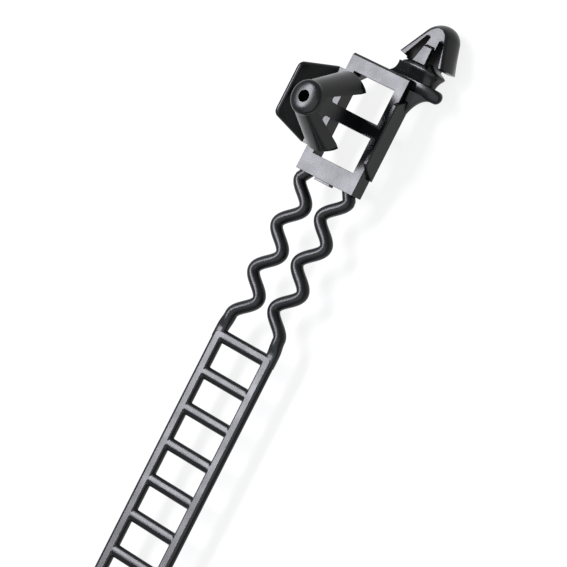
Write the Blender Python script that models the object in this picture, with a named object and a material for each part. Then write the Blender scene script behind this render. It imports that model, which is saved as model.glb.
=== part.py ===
"""Ladder cable tie with an arrowhead mount: one piece of moulded black nylon.

The part lies on its back. +Y runs along the strap towards the arrowhead, +X across the strap and +Z out of
the front of the head. While it is modelled, z = 0 is the front face of the head and x = y = 0 its middle.
At the end it is moved so that its origin is the middle of the bottom of its bounding box.
"""

import math

import bmesh
import bpy
from mathutils import Matrix, Vector

MM = 0.001

# Head frame
HEAD_WIDTH = 12.0 * MM
HEAD_LENGTH = 20.1 * MM
HEAD_DEPTH = 2.8 * MM
HEAD_EDGE = 0.35 * MM
TOP_BAR = 2.35 * MM
BOTTOM_BAR = 3.25 * MM
SIDE_BAR = 1.7 * MM
MIDDLE_BAR = 2.35 * MM
GUSSET = 1.0 * MM
GUSSET_DEPTH = 1.4 * MM
GATE_WIDTH = 3.2 * MM
GATE_HEIGHT = 0.4 * MM
GATE_DEPTH = 1.2 * MM
GATE_OFFSET = -0.8 * MM

# Guide plate on the left of the head, leaning outwards
LEDGE_WIDTH = 1.1 * MM
PLATE_BASE = 13.4 * MM
PLATE_EDGE = 9.2 * MM
PLATE_SHIFT = 0.2 * MM
PLATE_HEIGHT = 6.5 * MM
PLATE_THICKNESS = 1.1 * MM
PLATE_CORNER = 1.2 * MM
PLATE_ROOT = 1.6 * MM
PLATE_LEAN = math.radians(27.5)

# Guide rib on the right of the head
RIB_THICKNESS = 0.58 * MM
RIB_HEIGHT = 0.87 * MM
RIB_CREST = 10.0 * MM
RIB_RAMP = 2.25 * MM
RIB_DROP = 2.0 * MM

# Locking post with its two spring legs
POST_OFFSET = -0.5 * MM
POST_HEIGHT = 14.5 * MM
NOSE_RADIUS = 2.9 * MM
NOSE_ROUND = 1.25 * MM
BORE_RADIUS = 1.0 * MM
BORE_DEPTH = 4.0 * MM
WEB_WIDTH = 4.6 * MM
WEB_TOP = 12.8 * MM
WEB_GAP = 1.3 * MM
LEG_THICKNESS = 2.6 * MM
LEG_END_RADIUS = 3.4 * MM
LEG_SPREAD = 13.5 * MM
LEG_END_HEIGHT = 4.0 * MM
LEG_END_RISE = 0.6 * MM
LEG_HOOK = 0.35 * MM
STEM_THICKNESS = 2.3 * MM
CROTCH_HEIGHT = 10.4 * MM

# Push-in arrowhead beside the right corner of the head, leaning back
MOUNT_OFFSET = 5.75 * MM
MOUNT_AXIS_DEPTH = 2.6 * MM
ARROW_THICKNESS = 5.0 * MM
ARROW_LEAN = math.radians(10.5)
ARROW_CLEARANCE = 3.78 * MM
ARROW_LENGTH = 6.7 * MM
ARROW_RADIUS = 4.85 * MM
ARROW_NOSE_RADIUS = 3.1 * MM
ARROW_TIP = 0.4 * MM
WING_SLOPE = 1.36 * MM
WING_RISE = 0.36 * MM
WING_LIP = 0.3 * MM
WING_GAP = 2.8 * MM
SLOT_WIDTH = 0.9 * MM
SLOT_DEPTH = 4.1 * MM
SLOT_ROUND = 0.4 * MM
SHANK_TOP = 1.9 * MM
SHANK_BASE = 2.6 * MM
SHANK_REACH = 2.3 * MM
SHANK_DROP = 0.6 * MM
SHANK_FOOT = 0.5 * MM
SHANK_PROUD = 0.5 * MM
SHANK_SLOPE = 0.4 * MM

# Flared collar, support disc and webs that carry the arrowhead
FLAP_RADIUS = 3.75 * MM
FLAP_DEPTH = 4.6 * MM
FLAP_HEIGHT = 2.5 * MM
FLAP_THICKNESS = 0.5 * MM
NECK_RADIUS = 3.2 * MM
NECK_DEPTH = 1.9 * MM
FLARE_OUT = 1.3
FLARE_ASIDE = 4.0
COLLAR_RISE = 1.0 * MM
COLLAR_TOP = 1.5 * MM
COLLAR_SQUARENESS = 3.0
TONGUE_RADIUS = 5.45 * MM
TONGUE_DEPTH = 3.8 * MM
TONGUE_THICKNESS = 2.1 * MM
TONGUE_RISE = 0.55 * MM
TONGUE_TAPER = 0.6
TONGUE_SQUARENESS = 2.4
SHOULDER_WIDTH = 5.25 * MM
SHOULDER_INSET = 0.25 * MM
SHOULDER_SHARE = 0.93
MOUNT_FILLET = 2.4 * MM
FILLET_FRONT = 1.0 * MM
FILLET_SLOPE = 1.2 * MM

# Wavy spring rails between the head and the ladder
WIRE_DIAMETER = 2.0 * MM
WAVE_OFFSET = 3.5 * MM
WAVE_AMPLITUDE = 1.75 * MM
WAVE_PERIOD = 8.15 * MM
WAVE_COUNT = 3
WAVE_START = 1.1 * MM
WAVE_LEAD = 2.7 * MM
WIRE_TIP_SHARE = 0.9

# Ladder strap: flat faces with full round edges
LADDER_WIDTH = 13.2 * MM
LADDER_THICKNESS = 1.4 * MM
LADDER_CORNER = 1.1 * MM
RAIL_WIDTH = 2.2 * MM
RUNG_WIDTH = 2.15 * MM
RUNG_PITCH = 6.4 * MM
WINDOW_COUNT = 10
WINDOW_CORNER = 0.3 * MM
OUTER_ROUND = 0.75 * MM
INNER_ROUND = 0.5 * MM
RUNG_ROUND = 0.75 * MM
TAIL_LENGTH = 14.0 * MM
TAIL_WIDTH = 9.0 * MM
TAIL_CORNER = 2.0 * MM

# Depth by which fused shapes run into each other
FUSE = 0.4 * MM

# Facets of the round shapes
ARC_STEPS = 6
EDGE_STEPS = 6
WIRE_SIDES = 10
WAVE_STEPS = 12
TURN_STEPS = 28

# Places that follow from the sizes
HEAD_TOP = HEAD_LENGTH / 2
HEAD_BOTTOM = -HEAD_LENGTH / 2
HEAD_RIGHT = HEAD_WIDTH / 2
HEAD_LEFT = -HEAD_WIDTH / 2
WINDOW_TOP = HEAD_TOP - TOP_BAR
WINDOW_BOTTOM = HEAD_BOTTOM + BOTTOM_BAR
MIDDLE_Y = (WINDOW_TOP + WINDOW_BOTTOM) / 2
LADDER_TOP = HEAD_BOTTOM - WAVE_START - WAVE_COUNT * WAVE_PERIOD - WAVE_LEAD
LADDER_BOTTOM = LADDER_TOP - RUNG_WIDTH - WINDOW_COUNT * RUNG_PITCH
STRAP_Z = -HEAD_DEPTH / 2
ARROW_BASE = HEAD_TOP + ARROW_CLEARANCE
ARROW_BACK = -MOUNT_AXIS_DEPTH - ARROW_THICKNESS / 2
ARROW_FRONT = -MOUNT_AXIS_DEPTH + ARROW_THICKNESS / 2


def make_nylon():
    """Return the black nylon of the whole part."""
    nylon = bpy.data.materials.new("black_nylon")
    nylon.use_nodes = True
    shader = nylon.node_tree.nodes["Principled BSDF"]
    shader.inputs["Base Color"].default_value = (0.012, 0.012, 0.014, 1.0)
    shader.inputs["Roughness"].default_value = 0.28
    shader.inputs["Metallic"].default_value = 0.0
    return nylon


def add_object(name, mesh_builder, smooth_angle=35.0):
    """Turn a bmesh into an object whose normals face out."""
    bmesh.ops.remove_doubles(mesh_builder, verts=mesh_builder.verts, dist=1e-7)
    bmesh.ops.recalc_face_normals(mesh_builder, faces=mesh_builder.faces)
    mesh = bpy.data.meshes.new(name)
    mesh_builder.to_mesh(mesh)
    mesh_builder.free()
    mesh.shade_smooth()
    mesh.set_sharp_from_angle(angle=math.radians(smooth_angle))
    obj = bpy.data.objects.new(name, mesh)
    bpy.context.scene.collection.objects.link(obj)
    return obj


def make_tool(obj):
    """Hide an object that only serves to shape another one."""
    obj.hide_render = True
    obj.display_type = "WIRE"
    return obj


def combine(obj, operation, tool):
    """Join, cut or intersect an object with another."""
    modifier = obj.modifiers.new(tool.name, "BOOLEAN")
    modifier.operation = operation
    modifier.solver = "EXACT"
    modifier.object = make_tool(tool)


def bridge(mesh_builder, rings):
    """Skin closed rings of equally many points and cap both ends."""
    loops = [[mesh_builder.verts.new(point) for point in ring] for ring in rings]
    for first, second in zip(loops, loops[1:]):
        for i in range(len(first)):
            j = (i + 1) % len(first)
            mesh_builder.faces.new((first[i], first[j], second[j], second[i]))
    mesh_builder.faces.new(loops[0])
    mesh_builder.faces.new(loops[-1])


def loft(name, rings, smooth_angle=35.0):
    """Make a closed solid through a row of rings."""
    mesh_builder = bmesh.new()
    bridge(mesh_builder, rings)
    return add_object(name, mesh_builder, smooth_angle)


def prism_z(name, outline, low, high):
    """Extrude an outline of (x, y) points from z = low to z = high."""
    return loft(name, [[Vector((x, y, z)) for x, y in outline] for z in (low, high)])


def prism_x(name, outline, left, right):
    """Extrude an outline of (y, z) points from x = left to x = right."""
    return loft(name, [[Vector((x, y, z)) for y, z in outline] for x in (left, right)])


def box(name, low, high):
    """Make a box between two corners."""
    outline = [(low[0], low[1]), (high[0], low[1]), (high[0], high[1]), (low[0], high[1])]
    return prism_z(name, outline, low[2], high[2])


def rounded_corner(before, corner, after, radius, steps):
    """Return points of an arc that rounds one corner of an outline."""
    corner = Vector(corner)
    back = (Vector(before) - corner).normalized()
    ahead = (Vector(after) - corner).normalized()
    half_angle = back.angle(ahead) / 2
    centre = corner + (back + ahead).normalized() * radius / math.sin(half_angle)
    reach = radius / math.tan(half_angle)
    start = corner + back * reach - centre
    end = corner + ahead * reach - centre
    turn = start.angle_signed(end)
    return [tuple(centre + Matrix.Rotation(-turn * i / steps, 2) @ start) for i in range(steps + 1)]


def rounded_outline(corners, radii, steps=4):
    """Round each corner of an outline by its own radius; a radius of 0 keeps the corner."""
    points = []
    count = len(corners)
    for i, corner in enumerate(corners):
        if radii[i] == 0:
            points.append(tuple(corner))
        else:
            points += rounded_corner(corners[i - 1], corner, corners[(i + 1) % count], radii[i], steps)
    return points


def inset_outline(outline, distance):
    """Move every side of an outline inwards by a distance; the outline runs anticlockwise."""
    moved = []
    count = len(outline)
    for i in range(count):
        here = Vector(outline[i])
        incoming = (here - Vector(outline[i - 1])).normalized()
        outgoing = (Vector(outline[(i + 1) % count]) - here).normalized()
        left_in = Vector((-incoming.y, incoming.x))
        left_out = Vector((-outgoing.y, outgoing.x))
        middle = (left_in + left_out).normalized()
        moved.append(tuple(here + middle * distance / middle.dot(left_out)))
    return moved


def smooth_step(t):
    """Return an S-curve from 0 to 1."""
    return (1 - math.cos(math.pi * t)) / 2


def make_head():
    """Build the frame with its two windows, gusset, gate mark and ledge."""
    ledge = HEAD_LEFT - LEDGE_WIDTH
    ledge_low = MIDDLE_Y + PLATE_SHIFT - PLATE_BASE / 2
    ledge_high = MIDDLE_Y + PLATE_SHIFT + PLATE_BASE / 2
    rings = []
    for z, top in ((-HEAD_DEPTH, HEAD_TOP + HEAD_EDGE), (-HEAD_EDGE, HEAD_TOP + HEAD_EDGE), (0.0, HEAD_TOP)):
        outline = [
            (HEAD_LEFT, HEAD_BOTTOM),
            (HEAD_RIGHT, HEAD_BOTTOM),
            (HEAD_RIGHT, top),
            (HEAD_LEFT, top),
            (HEAD_LEFT, ledge_high),
            (ledge, ledge_high),
            (ledge, ledge_low),
            (HEAD_LEFT, ledge_low),
        ]
        rings.append([Vector((x, y, z)) for x, y in outline])
    head = loft("head_frame", rings)
    left = HEAD_LEFT + SIDE_BAR
    right = HEAD_RIGHT - SIDE_BAR
    for name, low, high in (
        ("lower_window", WINDOW_BOTTOM, MIDDLE_Y - MIDDLE_BAR / 2),
        ("upper_window", MIDDLE_Y + MIDDLE_BAR / 2, WINDOW_TOP),
    ):
        window = box(name, (left, low, -HEAD_DEPTH - FUSE), (right, high, FUSE))
        combine(head, "DIFFERENCE", window)
    corner = [
        (left - FUSE, WINDOW_TOP + FUSE),
        (left - FUSE, WINDOW_TOP - GUSSET),
        (left, WINDOW_TOP - GUSSET),
        (left + GUSSET, WINDOW_TOP),
        (left + GUSSET, WINDOW_TOP + FUSE),
    ]
    back = -HEAD_DEPTH + FUSE / 4
    combine(head, "UNION", prism_z("gusset", corner, back, back + GUSSET_DEPTH))
    gate_z = -(HEAD_DEPTH + GATE_DEPTH) / 2
    gate = box(
        "gate_mark",
        (GATE_OFFSET - GATE_WIDTH / 2, HEAD_BOTTOM - GATE_HEIGHT, gate_z),
        (GATE_OFFSET + GATE_WIDTH / 2, HEAD_BOTTOM + FUSE, gate_z + GATE_DEPTH),
    )
    combine(head, "UNION", gate)
    return head


def make_guide_plate():
    """Build the trapezoid plate that leans outwards from the ledge."""
    base = PLATE_BASE / 2
    edge = PLATE_EDGE / 2
    corners = [(-base, -PLATE_ROOT), (base, -PLATE_ROOT), (base, 0.0), (edge, PLATE_HEIGHT)]
    corners += [(-edge, PLATE_HEIGHT), (-base, 0.0)]
    outline = rounded_outline(corners, [0, 0, 0, PLATE_CORNER, PLATE_CORNER, 0])
    up = Vector((-math.sin(PLATE_LEAN), 0.0, math.cos(PLATE_LEAN)))
    out = Vector((-math.cos(PLATE_LEAN), 0.0, -math.sin(PLATE_LEAN)))
    foot = Vector((HEAD_LEFT - LEDGE_WIDTH, MIDDLE_Y + PLATE_SHIFT, 0.0))
    along = Vector((0.0, 1.0, 0.0))
    rings = []
    for offset in (0.0, PLATE_THICKNESS):
        rings.append([foot + along * y + up * s + out * offset for y, s in outline])
    return loft("guide_plate", rings)


def make_guide_rib():
    """Build the low rib on the right bar, with an S-shaped ramp at each end."""
    steps = 8
    ramp = []
    for i in range(steps + 1):
        t = i / steps
        y = RIB_CREST / 2 + RIB_RAMP * t
        ramp.append((y, RIB_HEIGHT - (RIB_HEIGHT + RIB_DROP) * smooth_step(t)))
    bottom = -HEAD_DEPTH + FUSE / 4
    outline = [(MIDDLE_Y - y, z) for y, z in reversed(ramp)]
    outline += [(MIDDLE_Y + y, z) for y, z in ramp]
    outline += [(MIDDLE_Y + ramp[-1][0], bottom), (MIDDLE_Y - ramp[-1][0], bottom)]
    return prism_x("guide_rib", outline, HEAD_RIGHT - FUSE / 4, HEAD_RIGHT + RIB_THICKNESS)


def post_ring(height, radius, offset):
    """Return the outline of the post at one height: the round outer sides of both legs."""
    points = []
    for side in (1, -1):
        for i in range(2 * ARC_STEPS + 1):
            angle = math.pi / 2 * (i / ARC_STEPS - 1)
            x = POST_OFFSET - side * radius * math.sin(angle)
            y = MIDDLE_Y + side * (offset + radius * math.cos(angle))
            points.append(Vector((x, y, height)))
    return points


def leg_inside(z):
    """Return how far the inner face of a leg stands from the post's middle at a height."""
    end = LEG_SPREAD / 2 - LEG_THICKNESS
    return end + (WEB_GAP - end) * (z - LEG_END_HEIGHT) / (WEB_TOP - LEG_END_HEIGHT)


def crotch_outline(side):
    """Return the (y, z) outline of the space beside the stem and under the end of one leg."""
    stem = STEM_THICKNESS / 2
    end = leg_inside(LEG_END_HEIGHT)
    end_slope = LEG_END_RISE / LEG_THICKNESS
    outside = LEG_SPREAD / 2 + 2 * FUSE
    low = -3 * FUSE
    radius = (leg_inside(CROTCH_HEIGHT) - stem) / 2
    outline = [(stem, low)]
    for i in range(5):
        angle = math.pi * (1 - i / 4)
        rise = radius * (math.sin(angle) - 1)
        outline.append((stem + radius + radius * math.cos(angle), CROTCH_HEIGHT + rise))
    outline += [
        (leg_inside(LEG_END_HEIGHT + 2 * LEG_HOOK), LEG_END_HEIGHT + 2 * LEG_HOOK),
        (end - LEG_HOOK, LEG_END_HEIGHT),
        (end + LEG_HOOK, LEG_END_HEIGHT + LEG_HOOK),
        (outside, LEG_END_HEIGHT + end_slope * (outside - end)),
        (outside, low),
    ]
    return [(MIDDLE_Y + side * y, z) for y, z in outline]


def make_locking_post():
    """Build the arrow-shaped post: a round nose, two sprung legs and the stem between them."""
    nose_z = POST_HEIGHT - NOSE_ROUND
    end_z = LEG_END_HEIGHT + LEG_END_RISE
    spread = LEG_SPREAD / 2 - LEG_END_RADIUS
    rings = []
    for i in range(5):
        angle = math.pi / 2 * i / 4
        radius = NOSE_RADIUS - NOSE_ROUND * (1 - math.sin(angle))
        rings.append(post_ring(POST_HEIGHT - NOSE_ROUND * (1 - math.cos(angle)), radius, 0.0))
    steps = 4
    for i in range(1, steps + 1):
        t = i / steps
        radius = NOSE_RADIUS + (LEG_END_RADIUS - NOSE_RADIUS) * t
        rings.append(post_ring(nose_z + (end_z - nose_z) * t, radius, spread * t))
    rings.append(post_ring(-2 * FUSE, LEG_END_RADIUS, spread))
    post = loft("locking_post", rings)
    reach = LEG_END_RADIUS + FUSE
    for name, side in (("upper_crotch", 1), ("lower_crotch", -1)):
        outline = crotch_outline(side)
        combine(post, "DIFFERENCE", prism_x(name, outline, POST_OFFSET - reach, POST_OFFSET + reach))
    low = -3 * FUSE
    web = [(leg_inside(low), low), (leg_inside(WEB_TOP), WEB_TOP)]
    web += [(-leg_inside(WEB_TOP), WEB_TOP), (-leg_inside(low), low)]
    web = [(MIDDLE_Y + y, z) for y, z in web]
    flat = WEB_WIDTH / 2
    for name, side in (("near_flat", 1), ("far_flat", -1)):
        left, right = sorted((POST_OFFSET + side * flat, POST_OFFSET + side * reach))
        combine(post, "DIFFERENCE", prism_x(name, web, left, right))
    turn = [math.tau * i / (4 * ARC_STEPS) for i in range(4 * ARC_STEPS)]
    rings = []
    for z in (POST_HEIGHT - BORE_DEPTH, POST_HEIGHT + FUSE):
        circle = [(BORE_RADIUS * math.cos(a), BORE_RADIUS * math.sin(a)) for a in turn]
        rings.append([Vector((POST_OFFSET + x, MIDDLE_Y + y, z)) for x, y in circle])
    combine(post, "DIFFERENCE", loft("post_bore", rings))
    return post


def mount_ring(y, half_width, half_depth, squareness=2.0):
    """Return a closed oval section across the mount's axis."""
    points = []
    for i in range(TURN_STEPS):
        angle = math.tau * (i + 0.5) / TURN_STEPS
        across = math.copysign(abs(math.cos(angle)) ** (2 / squareness), math.cos(angle))
        out = math.copysign(abs(math.sin(angle)) ** (2 / squareness), math.sin(angle))
        x = MOUNT_OFFSET + half_width * across
        points.append(Vector((x, y, -MOUNT_AXIS_DEPTH + half_depth * out)))
    return points


def arrow_profile():
    """Return the (radius, height) profile of the arrowhead above the ends of its wings."""
    nose = ARROW_NOSE_RADIUS
    centre = ARROW_LENGTH - nose
    distance = math.hypot(ARROW_RADIUS, centre)
    start = math.atan2(-centre, ARROW_RADIUS) + math.acos(nose / distance)
    profile = [(ARROW_RADIUS, 0.0)]
    steps = 7
    for i in range(steps + 1):
        angle = start + (math.pi / 2 - start) * i / steps
        profile.append((nose * math.cos(angle), centre + nose * math.sin(angle)))
    return profile


def lean_back(obj):
    """Slant a part of the arrowhead backwards from the height of its wings' ends."""
    for vertex in obj.data.vertices:
        vertex.co.z -= (vertex.co.y - ARROW_BASE) * math.tan(ARROW_LEAN)
    return obj


def box_section(y, left, right, back, front):
    """Return a square-cornered section across the mount's axis."""
    return [Vector((x, y, z)) for x, z in ((left, back), (right, back), (right, front), (left, front))]


def make_arrow():
    """Build the two-winged arrowhead: a turned bullet with two flats and two slots."""
    end = ARROW_BASE - WING_RISE
    inner = ARROW_RADIUS - WING_SLOPE
    rings = [mount_ring(end - WING_LIP, inner, inner), mount_ring(end, inner, inner)]
    for radius, height in arrow_profile()[:-1]:
        rings.append(mount_ring(ARROW_BASE + height, radius, radius))
    rings.append(mount_ring(ARROW_BASE + ARROW_LENGTH, ARROW_TIP, ARROW_TIP))
    arrow = lean_back(loft("arrowhead", rings))
    reach = ARROW_RADIUS + FUSE
    low = end - WING_LIP - FUSE
    slab_low = (MOUNT_OFFSET - reach, low, ARROW_BACK)
    slab_high = (MOUNT_OFFSET + reach, ARROW_BASE + ARROW_LENGTH + FUSE, ARROW_FRONT)
    combine(arrow, "INTERSECT", lean_back(box("arrow_flats", slab_low, slab_high)))
    top = ARROW_BASE + SLOT_DEPTH
    inner_top = SHANK_TOP / 2
    inner_slope = (SHANK_BASE - SHANK_TOP) / 2 / SLOT_DEPTH
    outer_top = inner_top + SLOT_WIDTH
    outer_slope = (WING_GAP - outer_top) / SLOT_DEPTH
    for name, side in (("left_slot", -1), ("right_slot", 1)):
        corners = [
            (inner_top + inner_slope * (top - low), low),
            (outer_top + outer_slope * (top - low), low),
            (outer_top, top),
            (inner_top, top),
        ]
        outline = rounded_outline([(MOUNT_OFFSET + side * x, y) for x, y in corners], [0, 0, SLOT_ROUND, SLOT_ROUND], 3)
        combine(arrow, "DIFFERENCE", lean_back(prism_z(name, outline, ARROW_BACK - FUSE, ARROW_FRONT + FUSE)))
    return arrow


def make_shank():
    """Build the shank that carries the arrowhead, with a sloped foot on the collar."""
    foot = ARROW_BASE - SHANK_DROP
    collar_back = -MOUNT_AXIS_DEPTH - NECK_DEPTH / 2
    rings = []
    for y, width, back, front in (
        (foot - SHANK_FOOT, SHANK_BASE, collar_back, ARROW_FRONT - SHANK_PROUD),
        (foot, SHANK_BASE, collar_back, ARROW_FRONT + SHANK_PROUD),
        (ARROW_BASE + SHANK_REACH, SHANK_TOP, ARROW_BACK + FUSE / 4, ARROW_FRONT + SHANK_PROUD),
        (ARROW_BASE + SHANK_REACH + SHANK_SLOPE, SHANK_TOP, ARROW_BACK + FUSE / 2, ARROW_FRONT - FUSE / 4),
    ):
        rings.append(box_section(y, MOUNT_OFFSET - width / 2, MOUNT_OFFSET + width / 2, back, front))
    return lean_back(loft("shank", rings))


def collar_size(height):
    """Return the half width and half depth of the collar at a height above the head, up to its flaps."""
    t = max(height, 0.0) / (FLAP_HEIGHT - FLAP_THICKNESS / 2)
    half_width = NECK_RADIUS + (FLAP_RADIUS - NECK_RADIUS) * t**FLARE_ASIDE
    return half_width, (NECK_DEPTH + (FLAP_DEPTH - NECK_DEPTH) * t**FLARE_OUT) / 2


def make_collar():
    """Build the flared collar under the arrowhead, whose top rises in a hollow cone to the shank."""
    rise = FLAP_HEIGHT - FLAP_THICKNESS / 2
    rings = []
    for height in (-FUSE, 0.0, rise / 4, rise / 2, rise * 3 / 4, rise):
        half_width, half_depth = collar_size(height)
        rings.append(mount_ring(HEAD_TOP + height, half_width, half_depth, COLLAR_SQUARENESS))
    for i in range(4):
        t = i / 3
        width = FLAP_RADIUS + (COLLAR_TOP - FLAP_RADIUS) * t
        depth = FLAP_DEPTH / 2 + (COLLAR_TOP - FLAP_DEPTH / 2) * t
        rings.append(mount_ring(HEAD_TOP + FLAP_HEIGHT + COLLAR_RISE * t * t, width, depth, COLLAR_SQUARENESS))
    return loft("collar", rings, 50.0)


def make_tongue():
    """Build the rounded support disc that shows beside the head's corner, receding towards the strap."""
    half = TONGUE_THICKNESS / 2
    middle = HEAD_TOP - half + TONGUE_RISE
    rings = []
    for i in range(ARC_STEPS + 1):
        angle = math.pi * i / ARC_STEPS
        bulge = half * math.sin(angle)
        depth = (TONGUE_DEPTH - half + bulge) / 2 * (1 - TONGUE_TAPER * (1 - i / ARC_STEPS))
        width = TONGUE_RADIUS - half + bulge
        rings.append(mount_ring(middle - half * math.cos(angle), width, depth, TONGUE_SQUARENESS))
    return loft("tongue", rings, 50.0)


def make_shoulder():
    """Build the web that runs from the top bar up to the collar in a hollow curve."""
    rise = FLAP_HEIGHT - FLAP_THICKNESS / 2
    reach = SHOULDER_WIDTH - FLAP_RADIUS + SHOULDER_INSET
    start = MOUNT_OFFSET - SHOULDER_WIDTH
    line = [(start, -FUSE / 2)]
    for i in range(ARC_STEPS + 1):
        angle = math.pi / 2 * i / ARC_STEPS
        line.append((start + reach * math.sin(angle), rise * (1 - math.cos(angle))))
    rings = []
    for x, height in line:
        depth = collar_size(height)[1] * SHOULDER_SHARE
        back, front = -MOUNT_AXIS_DEPTH - depth, -MOUNT_AXIS_DEPTH + depth
        rings.append(box_section(HEAD_TOP + height, x, MOUNT_OFFSET, back, front))
    return loft("shoulder", rings)


def make_mount_fillet():
    """Build the hollow fillet between the tongue and the right side of the head."""
    side = HEAD_RIGHT + RIB_THICKNESS / 2
    under = HEAD_TOP + TONGUE_RISE - TONGUE_THICKNESS
    line = [(side + MOUNT_FILLET, under + FUSE)]
    for i in range(ARC_STEPS + 1):
        angle = math.pi / 2 * (1 - i / ARC_STEPS)
        line.append((side + MOUNT_FILLET * (1 - math.cos(angle)), under - MOUNT_FILLET * (1 - math.sin(angle))))
    rings = []
    for x, y in line:
        back = -HEAD_DEPTH + FUSE / 2
        front = -FILLET_FRONT - FILLET_SLOPE * (under + FUSE - y) / (MOUNT_FILLET + FUSE)
        rings.append(box_section(y, HEAD_RIGHT - FUSE, x, back, front))
    return loft("mount_fillet", rings)


def wire_path(side):
    """Return the centre line of one wavy rail, from inside the head to inside the ladder."""
    crest = HEAD_BOTTOM - WAVE_START
    rail = LADDER_WIDTH / 2 - (RAIL_WIDTH + OUTER_ROUND - INNER_ROUND) / 2
    top = HEAD_BOTTOM + FUSE
    last = crest - WAVE_COUNT * WAVE_PERIOD
    path = []
    steps = WAVE_COUNT * WAVE_STEPS
    heights = [top] + [crest + (last - crest) * i / steps for i in range(steps + 1)]
    for y in heights:
        swing = WAVE_AMPLITUDE * math.cos(math.tau * (y - crest) / WAVE_PERIOD)
        path.append((side * (WAVE_OFFSET + swing), y))
    peak = WAVE_OFFSET + WAVE_AMPLITUDE
    for i in (1, 2, 3):
        t = i / 3
        path.append((side * (peak + (rail - peak) * smooth_step(t)), last + (LADDER_TOP - last) * t))
    path.append((side * rail, LADDER_TOP - RUNG_WIDTH + FUSE))
    return path


def make_wire(name, side):
    """Sweep a round section along one wavy rail."""
    path = wire_path(side)
    rings = []
    for i, point in enumerate(path):
        ahead = Vector(path[min(i + 1, len(path) - 1)])
        behind = Vector(path[max(i - 1, 0)])
        along = (ahead - behind).normalized()
        across = Vector((-along.y, along.x, 0.0))
        radius = WIRE_DIAMETER / 2
        if i == len(path) - 1:
            radius = min(radius, LADDER_THICKNESS / 2, RAIL_WIDTH / 2) * WIRE_TIP_SHARE
        centre = Vector((point[0], point[1], STRAP_Z))
        ring = []
        for k in range(WIRE_SIDES):
            angle = math.tau * (k + 0.5) / WIRE_SIDES
            ring.append(centre + radius * (across * math.cos(angle) + Vector((0, 0, 1)) * math.sin(angle)))
        rings.append(ring)
    return loft(name, rings, 50.0)


def round_levels(half):
    """Return (height, share) pairs down a full round edge; the share runs from 0 at its middle to 1."""
    levels = []
    for i in range(EDGE_STEPS + 1):
        angle = math.pi * (i / EDGE_STEPS - 0.5)
        levels.append((half * math.sin(angle), 1 - math.cos(angle)))
    return levels


def window_ring(centre_y, height, grow_x, grow_y):
    """Return the rounded outline of one ladder window at one height."""
    half_x = LADDER_WIDTH / 2 - RAIL_WIDTH + grow_x
    half_y = (RUNG_PITCH - RUNG_WIDTH) / 2 + grow_y
    corners = [(-half_x, -half_y), (half_x, -half_y), (half_x, half_y), (-half_x, half_y)]
    outline = rounded_outline(corners, [WINDOW_CORNER] * 4, 3)
    return [Vector((x, centre_y + y, height + STRAP_Z)) for x, y in outline]


def make_ladder():
    """Build the round-edged ladder strap with its row of windows and its plain tail."""
    half = LADDER_WIDTH / 2
    tail = TAIL_WIDTH / 2
    end = LADDER_BOTTOM - TAIL_LENGTH
    corners = [
        (-tail, end),
        (tail, end),
        (half, LADDER_BOTTOM),
        (half, LADDER_TOP),
        (-half, LADDER_TOP),
        (-half, LADDER_BOTTOM),
    ]
    radii = [TAIL_CORNER, TAIL_CORNER, TAIL_CORNER, LADDER_CORNER, LADDER_CORNER, TAIL_CORNER]
    outline = rounded_outline(corners, radii)
    levels = round_levels(LADDER_THICKNESS / 2)
    rings = []
    for z, share in levels:
        rings.append([Vector((x, y, z + STRAP_Z)) for x, y in inset_outline(outline, OUTER_ROUND * share)])
    ladder = loft("ladder", rings)
    outside = LADDER_THICKNESS / 2 + FUSE
    levels = [(-outside, 1.0)] + levels + [(outside, 1.0)]
    mesh_builder = bmesh.new()
    for i in range(WINDOW_COUNT):
        centre_y = LADDER_TOP - RUNG_WIDTH / 2 - RUNG_PITCH * (i + 0.5)
        rings = [window_ring(centre_y, z, INNER_ROUND * share, RUNG_ROUND * share) for z, share in levels]
        bridge(mesh_builder, rings)
    combine(ladder, "DIFFERENCE", add_object("ladder_windows", mesh_builder))
    return ladder


def fused_mesh(obj):
    """Return the mesh that an object's modifiers give, with its folds marked sharp."""
    bpy.context.view_layer.update()
    evaluated = obj.evaluated_get(bpy.context.evaluated_depsgraph_get())
    mesh = bpy.data.meshes.new_from_object(evaluated)
    mesh.name = "ladder_cable_tie"
    mesh.shade_smooth()
    mesh.set_sharp_from_angle(angle=math.radians(32.0))
    return mesh


def main():
    """Build the cable tie and set its origin to the middle of its bottom."""
    for obj in list(bpy.data.objects):
        bpy.data.objects.remove(obj, do_unlink=True)
    head = make_head()
    pieces = [
        make_guide_plate(),
        make_guide_rib(),
        make_locking_post(),
        make_tongue(),
        make_collar(),
        make_shoulder(),
        make_mount_fillet(),
        make_shank(),
        make_arrow(),
        make_wire("left_wire", -1),
        make_wire("right_wire", 1),
        make_ladder(),
    ]
    for piece in pieces:
        combine(head, "UNION", piece)
    mesh = fused_mesh(head)
    for obj in list(bpy.data.objects):
        bpy.data.objects.remove(obj, do_unlink=True)
    mesh.materials.clear()
    mesh.materials.append(make_nylon())
    cable_tie = bpy.data.objects.new("ladder_cable_tie", mesh)
    bpy.context.scene.collection.objects.link(cable_tie)
    low = Vector([min(vertex.co[i] for vertex in mesh.vertices) for i in range(3)])
    high = Vector([max(vertex.co[i] for vertex in mesh.vertices) for i in range(3)])
    cable_tie.location = (-(low.x + high.x) / 2, -(low.y + high.y) / 2, -low.z)


main()
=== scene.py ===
"""Ladder cable tie with an arrowhead mount, moulded in black nylon, in a white studio.

The tie lies on its back. All sizes are in millimetres, in head coordinates: their origin is the
middle of the front face of the head, +X runs across the strap, +Y along it towards the arrowhead
and +Z out of the front of the head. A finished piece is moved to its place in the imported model.
"""

from __future__ import annotations

import logging
import math
from dataclasses import dataclass
from enum import Enum
from typing import Any

import bmesh
import bpy
from mathutils import Matrix, Vector


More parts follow.
